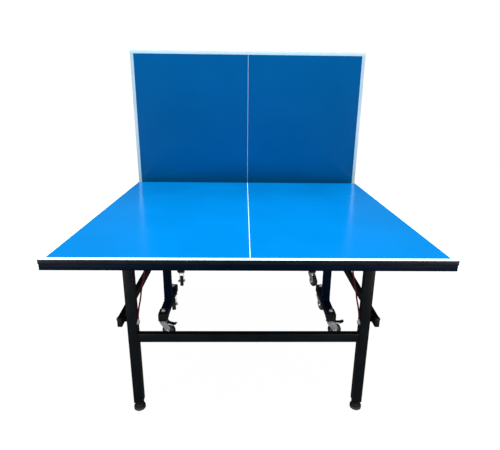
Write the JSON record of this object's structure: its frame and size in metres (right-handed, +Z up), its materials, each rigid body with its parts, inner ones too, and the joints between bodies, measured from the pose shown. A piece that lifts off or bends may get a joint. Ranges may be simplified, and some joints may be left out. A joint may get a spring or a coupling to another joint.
{
  "type": "ping pong table",
  "caption": "Folding ping pong table on wheeled carriages: one half flat for play, the other standing upright as a rebound board.",
  "frame": {"origin": "on the floor, at the middle of the table's overall box", "axes": "+Z up; +Y from the flat half towards the standing half, along the table; +X to the right across the table, seen from the flat half's end line"},
  "size_m": [1.525, 1.711, 1.604],
  "materials": {
    "blue_board": "glossy azure paint with white lines on an 18 mm board",
    "black_steel": "satin black powder coat on box section steel",
    "zinc_steel": "bright zinc plated pressed steel",
    "wheel_rubber": "dark grey rubber tread on a grey hub",
    "foot_rubber": "black rubber pad",
    "pedal_plastic": "black moulded plastic",
    "red_cable": "dark red plastic sheath on a steel cable"
  },
  "bodies": {
    "front_carriage": {"front_left_carriage": "black_steel", "front_right_carriage": "black_steel", "front_carriage_crossbar": "black_steel"},
    "front_top": {"front_top_board": "blue_board", "front_end_apron": "black_steel", "front_net_apron": "black_steel", "front_left_apron": "black_steel", "front_right_apron": "black_steel", "front_left_hinge_rail": "black_steel", "front_right_hinge_rail": "black_steel"},
    "front_leg_frame": {"front_left_leg": "black_steel", "front_right_leg": "black_steel", "front_leg_crossbar": "black_steel", "front_left_release_cable": "red_cable", "front_right_release_cable": "red_cable"},
    "front_left_link": {"front_left_link_bar": "black_steel"},
    "front_right_link": {"front_right_link_bar": "black_steel"},
    "front_left_foot": {"front_left_foot": "foot_rubber"},
    "front_right_foot": {"front_right_foot": "foot_rubber"},
    "front_end_left_caster": {"front_end_left_fork": "zinc_steel"},
    "front_end_left_wheel": {"front_end_left_wheel": "wheel_rubber"},
    "front_end_left_brake": {"front_end_left_brake_pedal": "pedal_plastic"},
    "front_end_right_caster": {"front_end_right_fork": "zinc_steel"},
    "front_end_right_wheel": {"front_end_right_wheel": "wheel_rubber"},
    "front_end_right_brake": {"front_end_right_brake_pedal": "pedal_plastic"},
    "front_net_left_caster": {"front_net_left_fork": "zinc_steel"},
    "front_net_left_wheel": {"front_net_left_wheel": "wheel_rubber"},
    "front_net_right_caster": {"front_net_right_fork": "zinc_steel"},
    "front_net_right_wheel": {"front_net_right_wheel": "wheel_rubber"},
    "rear_carriage": {"rear_left_carriage": "black_steel", "rear_right_carriage": "black_steel", "rear_carriage_crossbar": "black_steel"},
    "rear_top": {"rear_top_board": "blue_board", "rear_end_apron": "black_steel", "rear_net_apron": "black_steel", "rear_left_apron": "black_steel", "rear_right_apron": "black_steel", "rear_left_hinge_rail": "black_steel", "rear_right_hinge_rail": "black_steel"},
    "rear_leg_frame": {"rear_left_leg": "black_steel", "rear_right_leg": "black_steel", "rear_leg_crossbar": "black_steel", "rear_left_release_cable": "red_cable", "rear_right_release_cable": "red_cable"},
    "rear_left_link": {"rear_left_link_bar": "black_steel"},
    "rear_right_link": {"rear_right_link_bar": "black_steel"},
    "rear_left_foot": {"rear_left_foot": "foot_rubber"},
    "rear_right_foot": {"rear_right_foot": "foot_rubber"},
    "rear_end_left_caster": {"rear_end_left_fork": "zinc_steel"},
    "rear_end_left_wheel": {"rear_end_left_wheel": "wheel_rubber"},
    "rear_end_left_brake": {"rear_end_left_brake_pedal": "pedal_plastic"},
    "rear_end_right_caster": {"rear_end_right_fork": "zinc_steel"},
    "rear_end_right_wheel": {"rear_end_right_wheel": "wheel_rubber"},
    "rear_end_right_brake": {"rear_end_right_brake_pedal": "pedal_plastic"},
    "rear_net_left_caster": {"rear_net_left_fork": "zinc_steel"},
    "rear_net_left_wheel": {"rear_net_left_wheel": "wheel_rubber"},
    "rear_net_right_caster": {"rear_net_right_fork": "zinc_steel"},
    "rear_net_right_wheel": {"rear_net_right_wheel": "wheel_rubber"}
  },
  "joints": [
    {"name": "front_top_fold", "type": "hinge", "parent": "front_carriage", "child": "front_top", "pos_m": [0, 0.0285, 0.72], "axis": [-1, 0, 0], "range_deg": [0, 90]},
    {"name": "front_leg_fold", "type": "hinge", "parent": "front_top", "child": "front_leg_frame", "pos_m": [0, -0.6995, 0.712], "axis": [-1, 0, 0], "range_deg": [-90, 0], "deforming": ["front_left_release_cable", "front_right_release_cable"]},
    {"name": "front_left_link_turn", "type": "hinge", "parent": "front_carriage", "child": "front_left_link", "pos_m": [0, 0.0025, 0.451], "axis": [-1, 0, 0], "range_deg": [0, 90]},
    {"name": "front_right_link_turn", "type": "hinge", "parent": "front_carriage", "child": "front_right_link", "pos_m": [0, 0.0025, 0.451], "axis": [-1, 0, 0], "range_deg": [0, 90]},
    {"name": "front_left_foot_level", "type": "slide", "parent": "front_leg_frame", "child": "front_left_foot", "axis": [0, 0, 1], "range_m": [-0.006, 0.01]},
    {"name": "front_right_foot_level", "type": "slide", "parent": "front_leg_frame", "child": "front_right_foot", "axis": [0, 0, 1], "range_m": [-0.006, 0.01]},
    {"name": "front_end_left_swivel", "type": "hinge", "parent": "front_carriage", "child": "front_end_left_caster", "pos_m": [-0.4775, -0.1575, 0.1], "axis": [0, 0, 1], "continuous": true},
    {"name": "front_end_left_wheel_spin", "type": "hinge", "parent": "front_end_left_caster", "child": "front_end_left_wheel", "pos_m": [-0.45033, -0.16427, 0.0375], "axis": [0.2419, 0.9703, 0], "continuous": true},
    {"name": "front_end_left_brake_press", "type": "hinge", "parent": "front_end_left_caster", "child": "front_end_left_brake", "pos_m": [-0.46392, -0.16089, 0.084], "axis": [0.2419, 0.9703, 0], "range_deg": [-6, 8]},
    {"name": "front_end_right_swivel", "type": "hinge", "parent": "front_carriage", "child": "front_end_right_caster", "pos_m": [0.4775, -0.1575, 0.1], "axis": [0, 0, 1], "continuous": true},
    {"name": "front_end_right_wheel_spin", "type": "hinge", "parent": "front_end_right_caster", "child": "front_end_right_wheel", "pos_m": [0.5055, -0.1575, 0.0375], "axis": [0, 1, 0], "continuous": true},
    {"name": "front_end_right_brake_press", "type": "hinge", "parent": "front_end_right_caster", "child": "front_end_right_brake", "pos_m": [0.4915, -0.1575, 0.084], "axis": [0, 1, 0], "range_deg": [0, 14]},
    {"name": "front_net_left_swivel", "type": "hinge", "parent": "front_carriage", "child": "front_net_left_caster", "pos_m": [-0.4775, 0.1625, 0.1], "axis": [0, 0, 1], "continuous": true},
    {"name": "front_net_left_wheel_spin", "type": "hinge", "parent": "front_net_left_caster", "child": "front_net_left_wheel", "pos_m": [-0.47216, 0.13501, 0.0375], "axis": [0.9816, 0.1908, 0], "continuous": true},
    {"name": "front_net_right_swivel", "type": "hinge", "parent": "front_carriage", "child": "front_net_right_caster", "pos_m": [0.4775, 0.1625, 0.1], "axis": [0, 0, 1], "continuous": true},
    {"name": "front_net_right_wheel_spin", "type": "hinge", "parent": "front_net_right_caster", "child": "front_net_right_wheel", "pos_m": [0.48708, 0.13619, 0.0375], "axis": [0.9397, 0.342, 0], "continuous": true},
    {"name": "rear_half_roll", "type": "slide", "parent": "front_carriage", "child": "rear_carriage", "axis": [0, 1, 0], "range_m": [0, 0.4]},
    {"name": "rear_top_fold", "type": "hinge", "parent": "rear_carriage", "child": "rear_top", "pos_m": [0, 0.6415, 0.72], "axis": [-1, 0, 0], "range_deg": [0, 90]},
    {"name": "rear_leg_fold", "type": "hinge", "parent": "rear_top", "child": "rear_leg_frame", "pos_m": [0, 0.6495, 1.448], "axis": [-1, 0, 0], "range_deg": [-90, 0], "deforming": ["rear_left_release_cable", "rear_right_release_cable"]},
    {"name": "rear_left_link_turn", "type": "hinge", "parent": "rear_carriage", "child": "rear_left_link", "pos_m": [0, 0.6675, 0.451], "axis": [-1, 0, 0], "range_deg": [0, 90]},
    {"name": "rear_right_link_turn", "type": "hinge", "parent": "rear_carriage", "child": "rear_right_link", "pos_m": [0, 0.6675, 0.451], "axis": [-1, 0, 0], "range_deg": [0, 90]},
    {"name": "rear_left_foot_level", "type": "slide", "parent": "rear_leg_frame", "child": "rear_left_foot", "axis": [0, 0, 1], "range_m": [-0.006, 0.01]},
    {"name": "rear_right_foot_level", "type": "slide", "parent": "rear_leg_frame", "child": "rear_right_foot", "axis": [0, 0, 1], "range_m": [-0.006, 0.01]},
    {"name": "rear_end_left_swivel", "type": "hinge", "parent": "rear_carriage", "child": "rear_end_left_caster", "pos_m": [-0.4775, 0.8275, 0.1], "axis": [0, 0, 1], "continuous": true},
    {"name": "rear_end_left_wheel_spin", "type": "hinge", "parent": "rear_end_left_caster", "child": "rear_end_left_wheel", "pos_m": [-0.47025, 0.80045, 0.0375], "axis": [0.9659, 0.2588, 0], "continuous": true},
    {"name": "rear_end_left_brake_press", "type": "hinge", "parent": "rear_end_left_caster", "child": "rear_end_left_brake", "pos_m": [-0.47388, 0.81398, 0.084], "axis": [0.9659, 0.2588, 0], "range_deg": [0, 14]},
    {"name": "rear_end_right_swivel", "type": "hinge", "parent": "rear_carriage", "child": "rear_end_right_caster", "pos_m": [0.4775, 0.8275, 0.1], "axis": [0, 0, 1], "continuous": true},
    {"name": "rear_end_right_wheel_spin", "type": "hinge", "parent": "rear_end_right_caster", "child": "rear_end_right_wheel", "pos_m": [0.48475, 0.80045, 0.0375], "axis": [0.9659, 0.2588, 0], "continuous": true},
    {"name": "rear_end_right_brake_press", "type": "hinge", "parent": "rear_end_right_caster", "child": "rear_end_right_brake", "pos_m": [0.48112, 0.81398, 0.084], "axis": [0.9659, 0.2588, 0], "range_deg": [0, 14]},
    {"name": "rear_net_left_swivel", "type": "hinge", "parent": "rear_carriage", "child": "rear_net_left_caster", "pos_m": [-0.4775, 0.5075, 0.1], "axis": [0, 0, 1], "continuous": true},
    {"name": "rear_net_left_wheel_spin", "type": "hinge", "parent": "rear_net_left_caster", "child": "rear_net_left_wheel", "pos_m": [-0.47264, 0.47993, 0.0375], "axis": [0.9848, 0.1736, 0], "continuous": true},
    {"name": "rear_net_right_swivel", "type": "hinge", "parent": "rear_carriage", "child": "rear_net_right_caster", "pos_m": [0.4775, 0.5075, 0.1], "axis": [0, 0, 1], "continuous": true},
    {"name": "rear_net_right_wheel_spin", "type": "hinge", "parent": "rear_net_right_caster", "child": "rear_net_right_wheel", "pos_m": [0.48933, 0.48212, 0.0375], "axis": [0.9063, 0.4226, 0], "continuous": true}
  ],
  "couplings": [
    {"joint": "front_leg_fold", "follows": "front_top_fold", "ratio": -1},
    {"joint": "front_left_link_turn", "follows": "front_top_fold", "ratio": 1},
    {"joint": "front_right_link_turn", "follows": "front_top_fold", "ratio": 1},
    {"joint": "rear_leg_fold", "follows": "rear_top_fold", "ratio": -1},
    {"joint": "rear_left_link_turn", "follows": "rear_top_fold", "ratio": 1},
    {"joint": "rear_right_link_turn", "follows": "rear_top_fold", "ratio": 1},
    {"joint": "rear_half_roll", "follows": "rear_top_fold", "m_per_rad": 0.24701}
  ]
}
